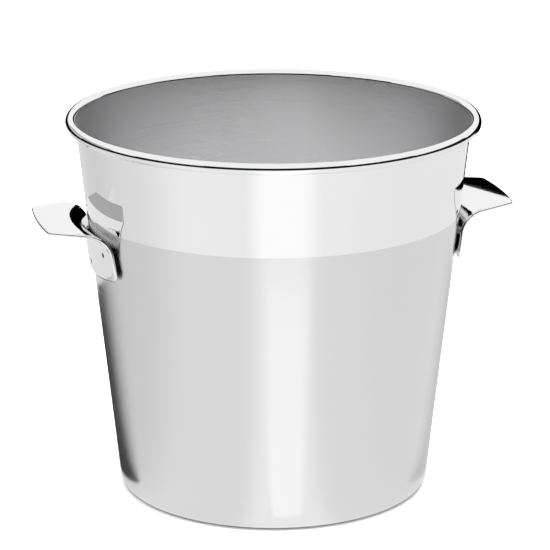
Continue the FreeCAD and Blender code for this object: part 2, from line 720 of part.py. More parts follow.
def main():
    doc = FreeCAD.newDocument("ChampagneBucket")
    make_sheet(doc)
    derived = make_derived(doc)
    size = {alias: value for alias, value, _ in SIZES}
    bucket = make_bucket(doc, size, derived)
    parts = [bucket]
    for side, heading in (("right", 0), ("left", 180)):
        handle = make_handle(doc, size, derived, f"handle_{side}", heading)
        welds = make_welds(doc, f"handle_{side}_welds", handle, bucket, heading == 180)
        parts += [handle, welds]
    doc.recompute()
    check_document(doc, parts)
    os.makedirs("parts", exist_ok=True)
    for part in parts:
        part.Shape.exportStep(f"parts/{part.Label}.step")
        print(f"{part.Label}: {len(part.Shape.Solids)} solid(s), {part.Shape.Volume:.1f} mm3")


main()
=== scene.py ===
import math

import bpy
from bpy.props import FloatProperty, FloatVectorProperty, IntProperty, PointerProperty
from mathutils import Matrix, Vector


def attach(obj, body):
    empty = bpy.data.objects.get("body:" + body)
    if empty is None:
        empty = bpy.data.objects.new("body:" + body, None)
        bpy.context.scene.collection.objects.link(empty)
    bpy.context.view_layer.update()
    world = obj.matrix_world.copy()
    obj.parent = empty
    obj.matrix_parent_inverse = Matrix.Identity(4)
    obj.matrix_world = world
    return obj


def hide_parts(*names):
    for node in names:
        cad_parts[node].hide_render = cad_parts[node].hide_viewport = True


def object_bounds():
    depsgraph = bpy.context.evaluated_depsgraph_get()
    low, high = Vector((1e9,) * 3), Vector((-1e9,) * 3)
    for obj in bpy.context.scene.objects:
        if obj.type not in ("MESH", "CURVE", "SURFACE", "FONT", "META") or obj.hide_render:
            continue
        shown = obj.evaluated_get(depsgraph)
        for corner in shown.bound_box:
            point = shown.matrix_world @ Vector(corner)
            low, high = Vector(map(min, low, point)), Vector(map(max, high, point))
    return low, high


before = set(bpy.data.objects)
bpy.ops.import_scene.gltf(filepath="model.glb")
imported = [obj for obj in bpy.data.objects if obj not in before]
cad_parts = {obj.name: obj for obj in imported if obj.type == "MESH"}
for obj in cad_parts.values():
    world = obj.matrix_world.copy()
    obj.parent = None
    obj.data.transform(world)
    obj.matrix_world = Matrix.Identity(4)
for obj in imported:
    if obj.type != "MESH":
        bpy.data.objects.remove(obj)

bl_info = {
    "name": "Steel champagne bucket",
    "version": (1, 0, 0),
    "blender": (4, 5, 0),
    "location": "View3D > Sidebar > Bucket",
    "description": "Models the drawn bucket, its bent handles and their steel finishes",
    "category": "Object",
}

CAD_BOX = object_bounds()
BODY = "root"

# The two handles: node name and weld node name.
HANDLES = {
    "left": ("handle_left", "handle_left_welds"),
    "right": ("handle_right", "handle_right_welds"),
}

MM = 0.001
FULL_TURN = 2 * math.pi
MERGE_DISTANCE = 0.005 * MM
TRIM_DISTANCE = 0.001 * MM

# Straight parts that each curve or run of the bucket's section is drawn with.
PANEL_PARTS = 6
STEP_PARTS = 8
FOOT_PARTS = 10
WALL_PARTS = 8
BAND_PARTS = 4
CURL_PARTS = 44

# The same for a handle: its bend, its bow, and the arcs and corners of its outline.
BEND_PARTS = 28
BOW_PARTS = 14
EDGE_PARTS = 14
CORNER_PARTS = 8

# How far the strip that a handle is trimmed from reaches past the outline.
BLANK_MARGIN = 8 * MM

# Places in the material lists of the bucket and of a handle.
# The inside's slot holds a copy of the satin steel whose colour is painted brighter, as painted
# light.
SATIN, MIRROR, LIT_INSIDE = 0, 1, 2
POLISHED, PUNCHED = 0, 1


class BucketSizes(bpy.types.PropertyGroup):
    """Sizes of the drawn bucket."""

    height: FloatProperty(
        name="Height", description="From the table to the top of the rim",
        default=CAD_BOX[1].z, unit="LENGTH",
    )
    rim_radius: FloatProperty(
        name="Rim radius", description="Outside of the rolled bead",
        default=0.108, unit="LENGTH",
    )
    bead_radius: FloatProperty(
        name="Bead radius", description="Outside of the bead's own section",
        default=0.0029, unit="LENGTH",
    )
    curl_end: FloatProperty(
        name="Curl end", description="How far the curl goes on below the bead's middle",
        default=math.radians(130), subtype="ANGLE",
    )
    sheet: FloatProperty(
        name="Sheet", description="Thickness of the bucket's sheet",
        default=0.0007, unit="LENGTH",
    )
    base_radius: FloatProperty(
        name="Base radius", description="Outside of the bucket just above its foot",
        default=0.0821, unit="LENGTH",
    )
    foot_corner: FloatProperty(
        name="Foot corner", description="Outside radius between the foot and the wall",
        default=0.005, unit="LENGTH",
    )
    foot_ring: FloatProperty(
        name="Foot ring", description="Width of the flat ring that the bucket stands on",
        default=0.0071, unit="LENGTH",
    )
    panel_rise: FloatProperty(
        name="Panel rise", description="How far the panel stands above the foot",
        default=0.0015, unit="LENGTH",
    )
    panel_step: FloatProperty(
        name="Panel step", description="Width of the step round the panel",
        default=0.004, unit="LENGTH",
    )
    polish_height: FloatProperty(
        name="Polish height", description="Where the satin wall ends and the mirror band starts",
        default=0.1502, unit="LENGTH",
    )
    steps: IntProperty(
        name="Steps", description="Faces round the bucket", default=240, min=48,
    )


class HandleSizes(bpy.types.PropertyGroup):
    """Sizes of one bent handle."""

    sheet: FloatProperty(
        name="Sheet", description="Thickness of a handle's sheet",
        default=0.0018, unit="LENGTH",
    )
    curve: FloatProperty(
        name="Curve", description="Radius that the plate is bowed to",
        default=0.122, unit="LENGTH",
    )
    gap: FloatProperty(
        name="Gap", description="Gap between the wall and the middle of the plate",
        default=0.0002, unit="LENGTH",
    )
    plate_bottom: FloatProperty(
        name="Plate bottom", description="Lowest point of the plate",
        default=0.1215, unit="LENGTH",
    )
    plate_width: FloatProperty(
        name="Plate width", description="Width of the plate at its foot",
        default=0.074, unit="LENGTH",
    )
    plate_edge: FloatProperty(
        name="Plate edge", description="Radius of the plate's lower edge",
        default=0.165, unit="LENGTH",
    )
    plate_corner: FloatProperty(
        name="Plate corner", description="Radius of the plate's lower corners",
        default=0.004, unit="LENGTH",
    )
    bend_radius: FloatProperty(
        name="Bend radius", description="Radius inside the bend",
        default=0.0125, unit="LENGTH",
    )
    neck_height: FloatProperty(
        name="Neck height", description="Where the plate's sides reach the neck",
        default=0.142, unit="LENGTH",
    )
    neck_width: FloatProperty(
        name="Neck width", description="Width of the tab over the bend",
        default=0.07, unit="LENGTH",
    )
    taper_start: FloatProperty(
        name="Taper start", description="Where the grip starts to narrow, from the axis",
        default=0.104, unit="LENGTH",
    )
    grip_height: FloatProperty(
        name="Grip height", description="Top of the grip at its outer edge",
        default=0.1512, unit="LENGTH",
    )
    grip_reach: FloatProperty(
        name="Grip reach", description="Outer edge of the grip from the axis",
        default=0.1255, unit="LENGTH",
    )
    grip_rise: FloatProperty(
        name="Grip rise", description="How much the grip climbs outwards",
        default=math.radians(2), subtype="ANGLE",
    )
    grip_width: FloatProperty(
        name="Grip width", description="Width of the grip at its outer edge",
        default=0.05, unit="LENGTH",
    )
    grip_edge: FloatProperty(
        name="Grip edge", description="Radius of the grip's outer edge",
        default=0.2, unit="LENGTH",
    )
    grip_corner: FloatProperty(
        name="Grip corner", description="Radius of the grip's outer corners",
        default=0.005, unit="LENGTH",
    )
    edge_round: FloatProperty(
        name="Edge round", description="Rounding of the sheet's tumbled edges",
        default=0.00082, unit="LENGTH",
    )
    dimple_radius: FloatProperty(
        name="Dimple radius", description="Mouth of the dimple at each weld",
        default=0.0013, unit="LENGTH",
    )
    dimple_depth: FloatProperty(
        name="Dimple depth", description="Depth of that dimple",
        default=0.0012, unit="LENGTH",
    )
    upper_weld_height: FloatProperty(
        name="Upper weld height", description="Height of the two upper welds",
        default=0.137, unit="LENGTH",
    )
    upper_weld_offset: FloatProperty(
        name="Upper weld offset", description="Sideways distance of the upper welds",
        default=0.025, unit="LENGTH",
    )
    lower_weld_height: FloatProperty(
        name="Lower weld height", description="Height of the lower weld",
        default=0.127, unit="LENGTH",
    )


class SteelFinish(bpy.types.PropertyGroup):
    """Colours and gloss of the steel."""

    satin_colour: FloatVectorProperty(
        name="Satin colour", description="Brushed steel of the wall",
        default=(0.738, 0.738, 0.743), size=3, subtype="COLOR", min=0, max=1,
    )
    satin_roughness: FloatProperty(
        name="Satin roughness", description="Gloss of the brushed wall",
        default=0.22, min=0, max=1, subtype="FACTOR",
    )
    mirror_colour: FloatVectorProperty(
        name="Mirror colour", description="Polished steel of the band and the handles",
        default=(0.87, 0.87, 0.875), size=3, subtype="COLOR", min=0, max=1,
    )
    mirror_roughness: FloatProperty(
        name="Mirror roughness", description="Gloss of the polished steel",
        default=0.025, min=0, max=1, subtype="FACTOR",
    )


class StudioSettings(bpy.types.PropertyGroup):
    """Camera and light of the stage."""

    camera_turn: FloatProperty(
        name="Camera turn", description="Camera's turn round the bucket from straight ahead",
        default=math.radians(14.0), subtype="ANGLE",
    )
    camera_distance: FloatProperty(
        name="Camera distance", description="From the bucket's axis, along the floor",
        default=1.412, unit="LENGTH",
    )
    camera_height: FloatProperty(
        name="Camera height", description="Above the floor",
        default=0.5382, unit="LENGTH",
    )
    camera_pitch: FloatProperty(
        name="Camera pitch", description="How far the camera looks down",
        default=math.radians(16.79), subtype="ANGLE",
    )
    camera_pan: FloatProperty(
        name="Camera pan", description="Turn of the camera away from the bucket's axis",
        default=-0.0006, subtype="ANGLE",
    )
    lens: FloatProperty(
        name="Lens", description="Focal length on a 36 mm sensor", default=182.8, min=1,
    )
    room_light: FloatProperty(
        name="Room light", description="Strength of the white room", default=1.0, min=0,
    )


# Selecting and shaping -------------------------------------------------------------------


def deselect_all():
    if bpy.context.object and bpy.context.object.mode != "OBJECT":
        bpy.ops.object.mode_set(mode="OBJECT")
    bpy.ops.object.select_all(action="DESELECT")


def make_active(piece):
    deselect_all()
    piece.select_set(True)
    bpy.context.view_layer.objects.active = piece


def start_edit(piece):
    make_active(piece)
    bpy.ops.object.mode_set(mode="EDIT")
    bpy.ops.mesh.select_all(action="SELECT")


def end_edit():
    bpy.ops.object.mode_set(mode="OBJECT")


def draw_line(name, points):
    """Start from one vertex and extrude it from point to point."""
    deselect_all()
    bpy.ops.mesh.primitive_plane_add(size=1 * MM, location=(0, 0, 0))
    piece = bpy.context.object
    piece.name = name
    piece.data.name = name
    start_edit(piece)
    bpy.ops.mesh.select_mode(type="VERT")
    bpy.ops.mesh.merge(type="CENTER")
    bpy.ops.transform.translate(value=points[0])
    for here, there in zip(points, points[1:]):
        bpy.ops.mesh.extrude_vertices_move(TRANSFORM_OT_translate={"value": there - here})
    end_edit()
    return piece


def spin_line(piece, axis_at, angle, steps):
    """Spin the drawn line about an upright axis, and close the seam and the poles."""
    start_edit(piece)
    bpy.ops.mesh.spin(
        steps=steps, angle=angle, center=axis_at, axis=(0, 0, 1), dupli=False,
    )
    bpy.ops.mesh.select_all(action="SELECT")
    bpy.ops.mesh.remove_doubles(threshold=MERGE_DISTANCE)
    bpy.ops.mesh.normals_make_consistent(inside=False)
    end_edit()


def apply_modifier(piece, kind, name, **settings):
    make_active(piece)
    modifier = piece.modifiers.new(name, kind)
    for key, value in settings.items():
        setattr(modifier, key, value)
    bpy.ops.object.modifier_apply(modifier=modifier.name)


def arc_points(centre, radius, start, end, steps):
    """Points on an arc in the XZ plane, angles in radians from +X towards +Z."""
    turns = [start + (end - start) * i / steps for i in range(steps + 1)]
    return [
        centre + radius * Vector((math.cos(turn), 0, math.sin(turn))) for turn in turns
    ]


def between(first, last, steps):
    """Points inside a straight run, its ends left out."""
    return [first.lerp(last, i / steps) for i in range(1, steps)]


def ride_on_root(piece):
    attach(piece, BODY)


# Shared measures -------------------------------------------------------------------------


def wall_measures(size):
    """Slope of the wall and where its outer line would meet the table."""
    corner_x = size.base_radius - size.foot_corner
    run = size.rim_radius - size.bead_radius - corner_x
    climb = size.height - size.bead_radius - size.foot_corner
    reach = size.foot_corner + size.bead_radius - size.sheet
    slope = math.acos(reach / math.hypot(run, climb)) - math.atan2(climb, run)
    foot = corner_x + size.foot_corner / math.cos(slope) - size.foot_corner * math.tan(slope)
    return slope, foot


# The bucket ------------------------------------------------------------------------------


def bucket_profile(size):
    """The middle of the sheet, from the middle of the floor panel to the end of the curl."""
    slope, _ = wall_measures(size)
    half = size.sheet / 2
    panel_radius = size.base_radius - size.foot_corner - size.foot_ring - size.panel_step
    panel_z = size.panel_rise + half

    points = [Vector((0, 0, panel_z))]
    points += between(points[0], Vector((panel_radius, 0, panel_z)), PANEL_PARTS)
    for i in range(STEP_PARTS + 1):
        along = i / STEP_PARTS
        fall = (1 - math.cos(math.pi * along)) / 2
        points.append(Vector((
            panel_radius + size.panel_step * along,
            0,
            panel_z + (half - panel_z) * fall,
        )))

    corner = Vector((size.base_radius - size.foot_corner, 0, size.foot_corner))
    points += arc_points(corner, size.foot_corner - half, -math.pi / 2, -slope, FOOT_PARTS)

    bead = Vector((
        size.rim_radius - size.bead_radius, 0, size.height - size.bead_radius,
    ))
    curl = arc_points(
        bead, size.bead_radius - half, math.pi - slope, -size.curl_end, CURL_PARTS,
    )
    border = points[-1].lerp(
        curl[0], (size.polish_height - points[-1].z) / (curl[0].z - points[-1].z),
    )
    points += between(points[-1], border, WALL_PARTS)
    points.append(border)
    points += between(border, curl[0], BAND_PARTS)
    points += curl
    return points


def finish_bucket(piece, size, satin, mirror, inside):
    """Polish the band above the border outside, and the whole bead; the rest stays satin. The
    inside's satin is a copy whose colour is painted brighter, as painted light.
    """
    for steel in (satin, mirror, inside):
        piece.data.materials.append(steel)
    bead_foot = size.height - 2 * size.bead_radius - 0.5 * MM
    for face in piece.data.polygons:
        outward = face.normal.x * face.center.x + face.normal.y * face.center.y > 0
        on_band = outward and face.center.z > size.polish_height
        on_bead = face.center.z > bead_foot
        in_bucket = not outward and face.center.z > size.foot_corner
        if on_band or on_bead:
            face.material_index = MIRROR
        else:
            face.material_index = LIT_INSIDE if in_bucket else SATIN


class BUCKET_OT_shell(bpy.types.Operator):
    """Spin the bucket's section round its axis and give the sheet its thickness"""

    bl_idname = "bucket.shell"
    bl_label = "Drawn bucket"

    def execute(self, context):
        size = context.scene.bucket_sizes
        gloss = context.scene.steel_finish.satin_roughness
        shell = draw_line("bucket_shell", bucket_profile(size))
        spin_line(shell, (0, 0, 0), FULL_TURN, size.steps)
        apply_modifier(
            shell, "SOLIDIFY", "Sheet",
            thickness=size.sheet, offset=0, use_even_offset=True, use_rim=True,
        )
        make_active(shell)
        bpy.ops.object.shade_smooth_by_angle(angle=math.radians(40))
        finish_bucket(
            shell, size, brushed_steel("satin_steel", gloss, 0.008 * MM), mirror_steel(),
            # Painted light: the inside's copy of the satin steel has its colour painted 1.28
            # times brighter, to light the inside of the bucket.
            brushed_steel("inner_steel_painted_brighter", gloss + 0.08, 0.003 * MM, 1.28),
        )
        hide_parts("bucket_body")
        ride_on_root(shell)
        return {"FINISHED"}


# The handles -----------------------------------------------------------------------------


def tab_line(size, slope, wall_foot):
    """Middle of the tab's sheet, from below the plate's foot to beyond the grip's end."""
    half = size.sheet / 2
    rise = size.grip_rise
    radius = size.bend_radius + half
    plate_foot = wall_foot + (size.gap + half) / math.cos(slope)
    along_plate = Vector((math.sin(slope), 0, math.cos(slope)))
    off_plate = Vector((math.cos(slope), 0, -math.sin(slope)))
    along_grip = Vector((math.cos(rise), 0, math.sin(rise)))
    off_grip = Vector((-math.sin(rise), 0, math.cos(rise)))
    tip = Vector((size.grip_reach, 0, size.grip_height)) - half * off_grip

    # The bend's centre is one radius outside the plate and one radius below the grip.
    plate_level = Vector((plate_foot, 0, 0)).dot(off_plate) + radius
    grip_level = tip.dot(off_grip) - radius
    bend = Matrix((
        (off_plate.x, off_plate.z), (off_grip.x, off_grip.z),
    )).inverted() @ Vector((plate_level, grip_level))
    bend = Vector((bend.x, 0, bend.y))

    low_z = size.plate_bottom - BLANK_MARGIN
    low = Vector((plate_foot + low_z * math.tan(slope), 0, low_z))
    arc = arc_points(bend, radius, math.pi - slope, math.pi / 2 + rise, BEND_PARTS)
    end = tip + BLANK_MARGIN * along_grip
    return [low, *arc, end]


def trim(point, outward):
    """Cut away what lies beyond a plane, given a point on it and its outward direction."""
    bpy.ops.mesh.select_all(action="SELECT")
    bpy.ops.mesh.bisect(
        plane_co=point, plane_no=outward, clear_outer=True, clear_inner=False,
        threshold=TRIM_DISTANCE,
    )


def trim_round_end(to_space, edge_radius, corner_radius, lean, half_width, tip):
    """Trim one rounded end of the tab.

    The end is a shallow arc between two corner arcs that touch the leaning sides. The outline
    is worked out flat, with u along the tab and v across it, and to_space turns it into 3-D.
    A side is half_width from the middle at the tip, and leans inwards towards the end.
    """
    level = math.sin(lean) * edge_radius + math.cos(lean) * half_width
    swing = math.asin((level - corner_radius) / (edge_radius - corner_radius)) - lean
    edge_u = tip - edge_radius
    corner_u = edge_u + (edge_radius - corner_radius) * math.cos(swing)
    corner_v = (edge_radius - corner_radius) * math.sin(swing)
    for i in range(-EDGE_PARTS, EDGE_PARTS + 1):
        turn = swing * i / EDGE_PARTS
        flat = (edge_u + edge_radius * math.cos(turn), edge_radius * math.sin(turn))
        trim(*to_space(flat, (math.cos(turn), math.sin(turn))))
    for mirror in (1, -1):
        for i in range(1, CORNER_PARTS + 1):
            turn = swing + (math.pi / 2 - lean - swing) * i / CORNER_PARTS
            flat = (
                corner_u + corner_radius * math.cos(turn),
                mirror * (corner_v + corner_radius * math.sin(turn)),
            )
            trim(*to_space(flat, (math.cos(turn), mirror * math.sin(turn))))


def plate_to_space(flat, outward):
    """The plate's outline is drawn on the YZ plane, with its end downwards."""
    return Vector((0, flat[1], -flat[0])), Vector((0, outward[1], -outward[0]))


def grip_to_space(flat, outward):
    """The grip's outline is drawn on the XY plane, with its end outwards."""
    return Vector((flat[0], flat[1], 0)), Vector((outward[0], outward[1], 0))


def press_dimples(tab, size, slope, wall_foot, bow_x):
    """Press the three small weld dimples into the plate's outer face."""
    half_turn = math.asin(size.upper_weld_offset / size.curve)
    marks = []
    for name, height, turn in [
        ("near", size.upper_weld_height, -half_turn),
        ("far", size.upper_weld_height, half_turn),
        ("low", size.lower_weld_height, 0),
    ]:
        face_x = wall_foot + (size.gap + size.sheet) / math.cos(slope) + height * math.tan(slope)
        reach = face_x - bow_x
        mouth = Vector((bow_x + reach * math.cos(turn), reach * math.sin(turn), height))
        inward = Vector((
            -math.cos(turn) * math.cos(slope), -math.sin(turn) * math.cos(slope),
            math.sin(slope),
        ))
        deselect_all()
        bpy.ops.mesh.primitive_cone_add(
            vertices=32, radius1=2 * size.dimple_radius, radius2=0.15 * size.dimple_radius,
            depth=2 * size.dimple_depth, location=mouth,
            rotation=inward.to_track_quat("Z", "Y").to_euler(),
        )
        punch = bpy.context.object
        punch.name = f"punch_{name}"
        make_active(tab)
        cut = tab.modifiers.new("Dimple", "BOOLEAN")
        cut.operation = "DIFFERENCE"
        cut.solver = "EXACT"
        cut.object = punch
        bpy.ops.object.modifier_apply(modifier=cut.name)
        bpy.data.objects.remove(punch, do_unlink=True)
        marks.append((mouth, inward))
    return marks


def darken_dimples(tab, size, marks):
    """The punched faces of the dimples get their own, darker steel."""
    face_allowance = 0.03 * MM
    deepest = 1.2 * size.dimple_depth
    tab.data.materials.append(mirror_steel())
    tab.data.materials.append(punched_steel())
    for face in tab.data.polygons:
        for mouth, inward in marks:
            away = face.center - mouth
            depth = away.dot(inward)
            aside = (away - depth * inward).length
            if depth > face_allowance and aside < size.dimple_radius:
                face.material_index = PUNCHED if depth < deepest else POLISHED


def make_tab(name, size, slope, wall_foot):
    """Model the handle that points along +X."""
    bow_x = (
        wall_foot + size.gap / math.cos(slope)
        + size.upper_weld_height * math.tan(slope) - size.curve
    )
    tab = draw_line(name, tab_line(size, slope, wall_foot))

    # The line is turned to one side of the middle first, then spun across to the other.
    half_bow = math.asin((size.plate_width / 2 + BLANK_MARGIN) / size.curve)
    start_edit(tab)
    bpy.ops.mesh.spin(
        steps=1, angle=-half_bow, center=(bow_x, 0, 0), axis=(0, 0, 1), dupli=True,
    )
    bpy.ops.mesh.select_all(action="INVERT")
    bpy.ops.mesh.delete(type="VERT")
    end_edit()
    spin_line(tab, (bow_x, 0, 0), 2 * half_bow, BOW_PARTS)

    plate_lean = math.atan2(
        (size.plate_width - size.neck_width) / 2, size.neck_height - size.plate_bottom,
    )
    taper = math.atan2(
        (size.neck_width - size.grip_width) / 2, size.grip_reach - size.taper_start,
    )
    start_edit(tab)
    bpy.ops.mesh.select_mode(type="FACE")
    for mirror in (1, -1):
        foot_edge = Vector((0, mirror * size.plate_width / 2, size.plate_bottom))
        trim(foot_edge, Vector((0, mirror * math.cos(plate_lean), math.sin(plate_lean))))
        neck_edge = Vector((size.taper_start, mirror * size.neck_width / 2, 0))
        trim(neck_edge, Vector((math.sin(taper), mirror * math.cos(taper), 0)))
    trim_round_end(
        plate_to_space, size.plate_edge, size.plate_corner, -plate_lean,
        size.plate_width / 2, -size.plate_bottom,
    )
    trim_round_end(
        grip_to_space, size.grip_edge, size.grip_corner, taper,
        size.grip_width / 2, size.grip_reach,
    )
    bpy.ops.mesh.select_all(action="SELECT")
    bpy.ops.mesh.remove_doubles(threshold=MERGE_DISTANCE)
    bpy.ops.mesh.normals_make_consistent(inside=False)
    end_edit()

    apply_modifier(
        tab, "SOLIDIFY", "Sheet",
        thickness=size.sheet, offset=0, use_even_offset=True, use_rim=True,
    )
    darken_dimples(tab, size, press_dimples(tab, size, slope, wall_foot, bow_x))
    make_active(tab)
    bpy.ops.object.shade_smooth_by_angle(angle=math.radians(30))
    apply_modifier(
        tab, "BEVEL", "Tumbled edge",
        width=size.edge_round, segments=4, limit_method="ANGLE",
        angle_limit=math.radians(60), use_clamp_overlap=False,
    )
    apply_modifier(
        tab, "WEIGHTED_NORMAL", "Even sheet", mode="FACE_AREA", weight=100, keep_sharp=True,
    )
    return tab


class BUCKET_OT_handles(bpy.types.Operator):
    """Model one bent handle, copy it, and turn the copy to the bucket's other side"""

    bl_idname = "bucket.handles"
    bl_label = "Bent handles"

    def execute(self, context):
        size = context.scene.handle_sizes
        slope, wall_foot = wall_measures(context.scene.bucket_sizes)
        right = make_tab("handle_tab_right", size, slope, wall_foot)
        left = right.copy()
        left.data = right.data.copy()
        left.name = "handle_tab_left"
        context.collection.objects.link(left)
        make_active(left)
        left.rotation_euler.z = math.pi
        bpy.ops.object.transform_apply(location=True, rotation=True, scale=True)
        for tab, side in ((right, "right"), (left, "left")):
            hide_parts(HANDLES[side][0])
            ride_on_root(tab)
        return {"FINISHED"}


# Finishes --------------------------------------------------------------------------------


def new_material(name):
    """An empty Principled material: its nodes, its links and its shader."""
    material = bpy.data.materials.new(name)
    material.use_nodes = True
    nodes = material.node_tree.nodes
    links = material.node_tree.links
    return material, nodes, links, nodes["Principled BSDF"]


def math_node(nodes, links, operation, first, second):
    node = nodes.new("ShaderNodeMath")
    node.operation = operation
    for socket, value in zip(node.inputs, (first, second)):
        if isinstance(value, (int, float)):
            socket.default_value = value
        else:
            links.new(value, socket)
    return node.outputs[0]


def streak_coordinates(nodes, links, along, across):
    """Coordinates that are long round the bucket and short along its section.

    The third one is height plus radius, so the streaks run level round the wall and in rings
    over the floor panel.
    """
    place = nodes.new("ShaderNodeTexCoord").outputs["Object"]
    split = nodes.new("ShaderNodeSeparateXYZ")
    links.new(place, split.inputs[0])
    x, y, z = split.outputs
    squares = math_node(
        nodes, links, "ADD",
        math_node(nodes, links, "MULTIPLY", x, x), math_node(nodes, links, "MULTIPLY", y, y),
    )
    radius = math_node(nodes, links, "SQRT", squares, 0)
    section = math_node(nodes, links, "ADD", z, radius)
    join = nodes.new("ShaderNodeCombineXYZ")
    links.new(math_node(nodes, links, "MULTIPLY", x, along), join.inputs[0])
    links.new(math_node(nodes, links, "MULTIPLY", y, along), join.inputs[1])
    links.new(math_node(nodes, links, "MULTIPLY", section, across), join.inputs[2])
    return join.outputs[0]


def noise(nodes, links, coordinates, scale, detail=2.0):
    node = nodes.new("ShaderNodeTexNoise")
    node.inputs["Scale"].default_value = scale
    node.inputs["Detail"].default_value = detail
    links.new(coordinates, node.inputs["Vector"])
    return node.outputs["Fac"]


def spread(nodes, links, value, low, high):
    """Map a noise value, which stays near the middle, on to the range low to high."""
    node = nodes.new("ShaderNodeMapRange")
    node.inputs["From Min"].default_value = 0.3
    node.inputs["From Max"].default_value = 0.7
    node.inputs["To Min"].default_value = low
    node.inputs["To Max"].default_value = high
    links.new(value, node.inputs["Value"])
    return node.outputs["Result"]


def bump(nodes, links, shader, height, distance, strength):
    node = nodes.new("ShaderNodeBump")
    node.inputs["Distance"].default_value = distance
    node.inputs["Strength"].default_value = strength
    links.new(height, node.inputs["Height"])
    links.new(node.outputs["Normal"], shader.inputs["Normal"])


def tinted(nodes, links, shader, factor, dark, light):
    """Vary the base colour a little between two shades."""
    ramp = nodes.new("ShaderNodeMix")
    ramp.data_type = "RGBA"
    links.new(factor, ramp.inputs["Factor"])
    ramp.inputs["A"].default_value = (*dark, 1)
    ramp.inputs["B"].default_value = (*light, 1)
    links.new(ramp.outputs["Result"], shader.inputs["Base Color"])


def shade(colour, amount):
    return tuple(channel * amount for channel in colour)


def brushed_steel(name, roughness, depth, brightness=1.0):
    """Satin steel: fine level brushing, with a little wear in its gloss."""
    material, nodes, links, shader = new_material(name)
    colour = shade(bpy.context.scene.steel_finish.satin_colour, brightness)
    shader.inputs["Metallic"].default_value = 1
    shader.inputs["Anisotropic"].default_value = 0.4
    shader.inputs["Anisotropic Rotation"].default_value = 0.25

    lines = noise(nodes, links, streak_coordinates(nodes, links, 14, 2600), 1, 3)
    fine = noise(nodes, links, streak_coordinates(nodes, links, 30, 7000), 1, 2)
    cloud = noise(nodes, links, nodes.new("ShaderNodeTexCoord").outputs["Object"], 22, 3)
    both = math_node(
        nodes, links, "ADD", math_node(nodes, links, "MULTIPLY", fine, 0.5), lines,
    )
    worn = math_node(
        nodes, links, "ADD", spread(nodes, links, lines, roughness - 0.03, roughness + 0.03),
        spread(nodes, links, cloud, -0.015, 0.015),
    )
    links.new(worn, shader.inputs["Roughness"])
    tinted(nodes, links, shader, lines, shade(colour, 0.965), shade(colour, 1.03))
    bump(nodes, links, shader, both, depth, 0.12)
    return material


def mirror_steel():
    """Polished steel: nearly a mirror, with faint buffing marks and soft handling haze."""
    finish = bpy.context.scene.steel_finish
    existing = bpy.data.materials.get("mirror_steel")
    if existing:
        return existing
    material, nodes, links, shader = new_material("mirror_steel")
    colour = tuple(finish.mirror_colour)
    rough = finish.mirror_roughness
    shader.inputs["Metallic"].default_value = 1

    place = nodes.new("ShaderNodeTexCoord").outputs["Object"]
    haze = noise(nodes, links, place, 35, 4)
    buffing = noise(nodes, links, streak_coordinates(nodes, links, 60, 1500), 1, 3)
    worn = math_node(
        nodes, links, "ADD", spread(nodes, links, haze, rough - 0.01, rough + 0.02),
        spread(nodes, links, buffing, -0.005, 0.01),
    )
    links.new(worn, shader.inputs["Roughness"])
    tinted(nodes, links, shader, haze, shade(colour, 0.985), shade(colour, 1.01))
    bump(nodes, links, shader, buffing, 0.005 * MM, 0.12)
    return material


def punched_steel():
    """Inside the weld dimples: dull, dark steel."""
    material, nodes, links, shader = new_material("punched_steel")
    shader.inputs["Metallic"].default_value = 1
    place = nodes.new("ShaderNodeTexCoord").outputs["Object"]
    grain = noise(nodes, links, place, 1400, 3)
    links.new(spread(nodes, links, grain, 0.35, 0.55), shader.inputs["Roughness"])
    tinted(nodes, links, shader, grain, (0.10, 0.095, 0.09), (0.20, 0.19, 0.18))
    bump(nodes, links, shader, grain, 0.03 * MM, 0.4)
    return material


def weld_steel():
    """Weld nuggets: dull, slightly straw-tinted steel with a coarse fused grain."""
    material, nodes, links, shader = new_material("weld_steel")
    shader.inputs["Metallic"].default_value = 1
    place = nodes.new("ShaderNodeTexCoord").outputs["Object"]
    grain = noise(nodes, links, place, 900, 4)
    links.new(spread(nodes, links, grain, 0.38, 0.6), shader.inputs["Roughness"])
    tinted(nodes, links, shader, grain, (0.36, 0.33, 0.30), (0.52, 0.50, 0.48))
    bump(nodes, links, shader, grain, 0.05 * MM, 0.5)
    return material


class BUCKET_OT_welds(bpy.types.Operator):
    """Give the weld nuggets behind both handles their fused steel"""

    bl_idname = "bucket.welds"
    bl_label = "Weld nuggets"

    def execute(self, context):
        steel = weld_steel()
        for _, welds in HANDLES.values():
            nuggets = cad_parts[welds].data
            nuggets.materials.clear()
            nuggets.materials.append(steel)
        return {"FINISHED"}


# Stage -----------------------------------------------------------------------------------


def glow_material(name, brightness):
    """A plain white glow."""
    material = bpy.data.materials.new(name)
    material.use_nodes = True
    nodes = material.node_tree.nodes
    nodes.clear()
    out = nodes.new("ShaderNodeOutputMaterial")
    glow = nodes.new("ShaderNodeEmission")
    glow.inputs["Color"].default_value = (1, 1, 1, 1)
    glow.inputs["Strength"].default_value = brightness
    material.node_tree.links.new(glow.outputs[0], out.inputs["Surface"])
    return material


def studio_point(turn, right, behind, up):
    """A point right of the bucket, behind it and above the floor, as the camera sees it."""
    ahead = Vector((math.sin(turn), math.cos(turn), 0))
    aside = Vector((math.cos(turn), -math.sin(turn), 0))
    return aside * right + ahead * behind + Vector((0, 0, up))


# Brightness of the table round the bucket: degrees from the camera, then the shade.
TABLE_RADIUS = 1.34
TABLE_SHADES = (
    (-180, 0.78), (-125, 0.70), (-85, 0.80), (-45, 0.95), (-16, 0.94), (-5, 1.10),
    (15, 1.10), (28, 0.95), (75, 0.90), (180, 0.88),
)
TABLE_HEIGHT = 1 * MM
CARD_HEIGHT = 2 * MM

# The lamp over the bucket: width and depth, place (right, behind, up), power in watts, and
# the height on the bucket's axis that it points at.
SOFTBOX_SIZE = (1.6, 1.6)
SOFTBOX_PLACE = (0, 0.1, 1.6)
SOFTBOX_POWER = 60
SOFTBOX_AIM = 0.1

FLOOR_RADIUS = 6
FLOOR_HEIGHT = -0.05 * MM
ROUND_STEPS = 96

